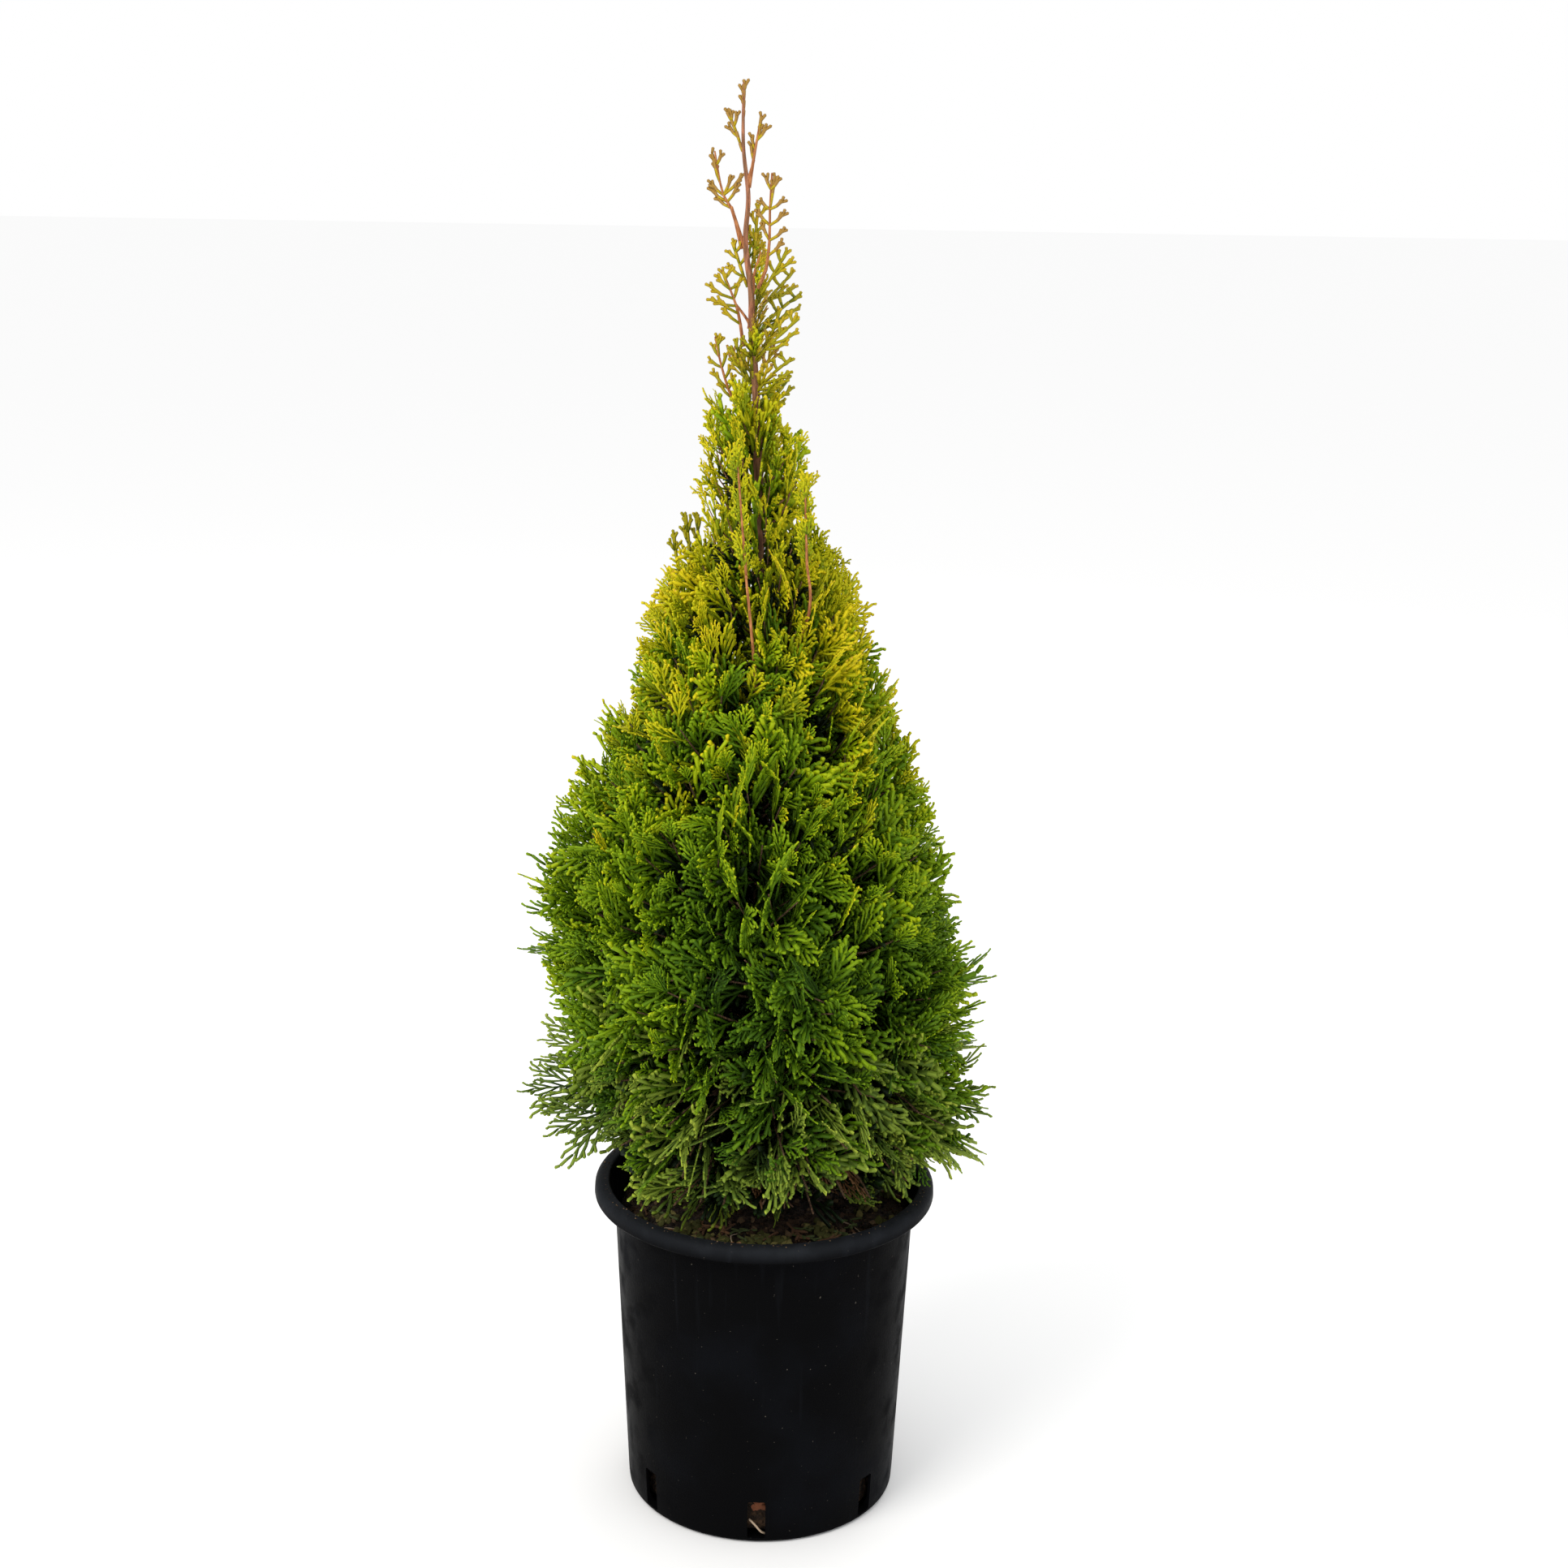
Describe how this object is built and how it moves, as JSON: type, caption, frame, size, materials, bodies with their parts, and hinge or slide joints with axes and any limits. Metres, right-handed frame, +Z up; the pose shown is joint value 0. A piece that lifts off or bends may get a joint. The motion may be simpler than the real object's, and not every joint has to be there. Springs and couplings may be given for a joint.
{
  "type": "potted thuja",
  "caption": "Young upright golden-green thuja with an open leader and feathery sprays, standing in a round black nursery pot of potting mix.",
  "frame": {"origin": "centre of the pot's flat underside, on the pot's axis", "axes": "+Z up along the pot's axis, -Y towards the side shown as the front, +X to the right of that side"},
  "size_m": [0.2981, 0.2891, 0.976],
  "materials": {
    "pot_plastic": "matte, dusty and lightly scuffed",
    "potting_mix": "rough damp potting mix",
    "bark": "rough reddish-brown bark",
    "foliage": "soft scale leaves, green inside and golden at the tips"
  },
  "bodies": {
    "root": {"front_shoot": "bark", "front_shoot_foliage": "foliage", "lower_bough_1": "bark", "lower_bough_2": "bark", "lower_bough_3": "bark", "lower_bough_4": "bark", "lower_bough_5": "bark", "lower_bough_6": "bark", "lower_bough_7": "bark", "lower_foliage_1": "foliage", "lower_foliage_2": "foliage", "lower_foliage_3": "foliage", "lower_foliage_4": "foliage", "lower_foliage_5": "foliage", "lower_foliage_6": "foliage", "lower_foliage_7": "foliage", "middle_bough_1": "bark", "middle_bough_2": "bark", "middle_bough_3": "bark", "middle_bough_4": "bark", "middle_bough_5": "bark", "middle_bough_6": "bark", "middle_bough_7": "bark", "middle_bough_8": "bark", "middle_foliage_1": "foliage", "middle_foliage_2": "foliage", "middle_foliage_3": "foliage", "middle_foliage_4": "foliage", "middle_foliage_5": "foliage", "middle_foliage_6": "foliage", "middle_foliage_7": "foliage", "middle_foliage_8": "foliage", "pot": "pot_plastic", "potting_mix": "potting_mix", "right_shoot": "bark", "right_shoot_foliage": "foliage", "spire_foliage_1": "foliage", "spire_foliage_2": "foliage", "spire_foliage_3": "foliage", "spire_spray_1": "foliage", "spire_spray_2": "foliage", "spire_spray_3": "foliage", "spire_spray_4": "foliage", "spire_spray_5": "foliage", "spire_spray_6": "foliage", "spire_spray_7": "foliage", "spire_spray_8": "foliage", "spire_stem_5": "bark", "spire_stem_6": "bark", "spire_stem_7": "bark", "spire_stem_8": "bark", "trunk": "bark", "upper_bough_1": "bark", "upper_bough_2": "bark", "upper_bough_3": "bark", "upper_bough_4": "bark", "upper_foliage_1": "foliage", "upper_foliage_2": "foliage", "upper_foliage_3": "foliage", "upper_foliage_4": "foliage"}
  },
  "joints": []
}
